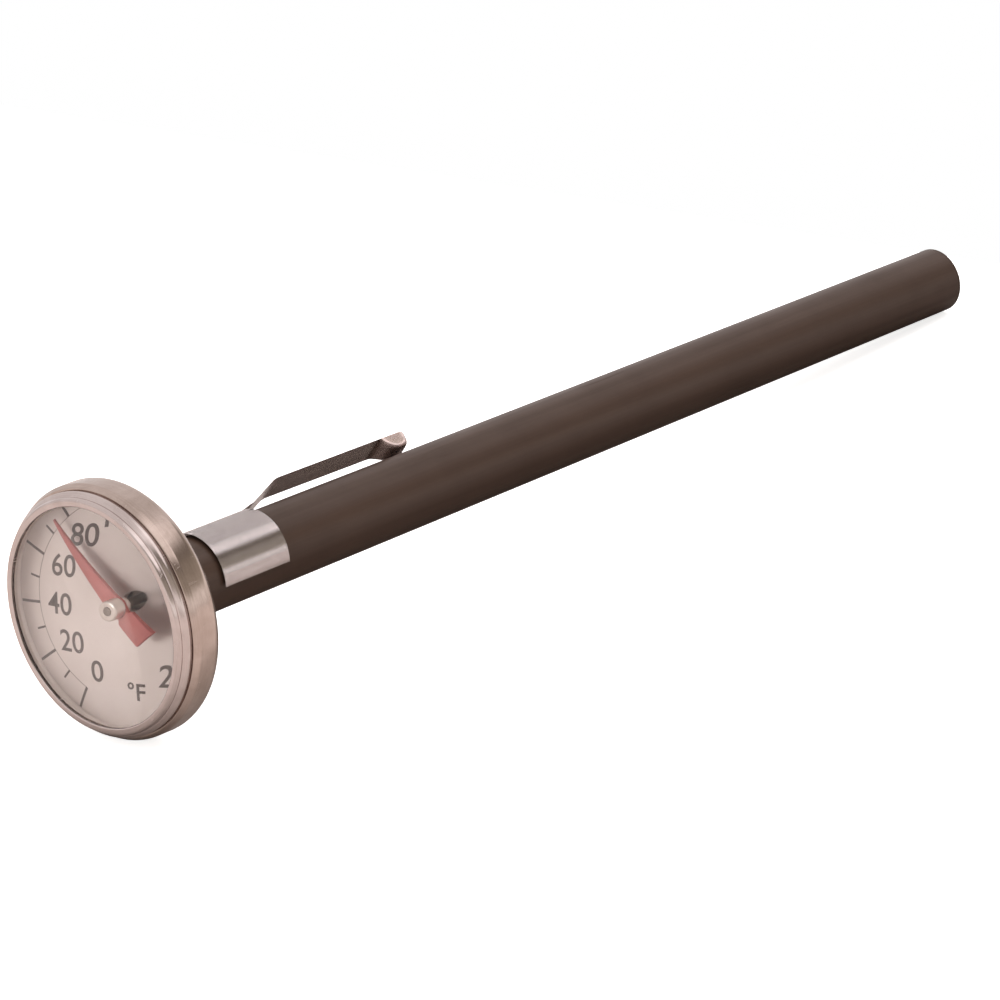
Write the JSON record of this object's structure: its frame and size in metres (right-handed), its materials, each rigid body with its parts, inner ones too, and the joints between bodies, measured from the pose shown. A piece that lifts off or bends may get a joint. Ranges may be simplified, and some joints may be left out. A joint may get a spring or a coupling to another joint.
{
  "type": "dial thermometer",
  "caption": "Pocket dial thermometer: a round steel head with a domed window and red pointer, a bimetal stem, and a dark plastic sheath with a steel pocket clip.",
  "frame": {"origin": "on the stem's axis, in the back face of the case, where the neck comes out of it", "axes": "+Y along the stem towards its tip; the dial faces -Y; +Z through 12 o'clock on the dial and +X through 3 o'clock"},
  "size_m": [0.028, 0.1373, 0.028],
  "materials": {
    "case_steel": "satin polished stainless steel",
    "bezel_steel": "polished stainless steel",
    "lens_clear": "clear domed window",
    "gasket_rubber": "pale soft ring",
    "white_plastic": "white moulded ring",
    "dial_white": "off-white baked enamel with black numerals",
    "ring_aluminium": "plain",
    "stem_steel": "polished stainless steel",
    "spring_steel": "spring steel",
    "nut_steel": "machined stainless steel",
    "bush_brass": "turned brass",
    "pointer_red": "red enamel",
    "hub_aluminium": "turned",
    "staff_steel": "drawn wire",
    "bimetal": "rolled bimetal strip",
    "sheath_plastic": "dark brown moulded plastic, soft sheen",
    "clip_nickel": "bright nickel plate on spring steel"
  },
  "bodies": {
    "head": {"case_cup": "case_steel", "bezel_ring": "bezel_steel", "crystal_lens": "lens_clear", "lens_gasket": "gasket_rubber", "spacer_ring": "white_plastic", "dial_plate": "dial_white", "dial_support_ring": "ring_aluminium"},
    "stem": {"stem_neck": "stem_steel", "stem_tube": "stem_steel", "stem_tip": "stem_steel", "stem_flange": "stem_steel", "cone_washer": "spring_steel", "calibration_nut": "nut_steel", "upper_bush": "bush_brass", "lower_bush": "bush_brass", "helix_anchor": "bush_brass"},
    "pointer": {"pointer_hand": "pointer_red", "pointer_hub": "hub_aluminium", "pointer_staff": "staff_steel", "coil_clip": "bush_brass", "bimetal_coil": "bimetal"},
    "sheath": {"sheath_tube": "sheath_plastic", "sheath_end_plug": "sheath_plastic", "clip_band": "clip_nickel"},
    "clip_arm": {"clip_arm": "clip_nickel"}
  },
  "joints": [
    {"name": "dial_adjust", "type": "hinge", "parent": "head", "child": "stem", "pos_m": [0, 0, 0], "axis": [0, 1, 0], "continuous": true},
    {"name": "pointer_swing", "type": "hinge", "parent": "stem", "child": "pointer", "pos_m": [0, 0, 0], "axis": [0, 1, 0], "range_deg": [-106.36, 193.64], "stiffness_Nm_per_rad": 0.00002, "deforming": ["bimetal_coil"]},
    {"name": "sheath_slide", "type": "slide", "parent": "stem", "child": "sheath", "axis": [0, 1, 0], "range_m": [0, 0.14]},
    {"name": "clip_flex", "type": "hinge", "parent": "sheath", "child": "clip_arm", "pos_m": [-0.00347, 0.01923, 0.00291], "axis": [0.6428, 0, 0.766], "range_deg": [0, 6], "stiffness_Nm_per_rad": 0.6, "springref_deg": -4.58}
  ]
}
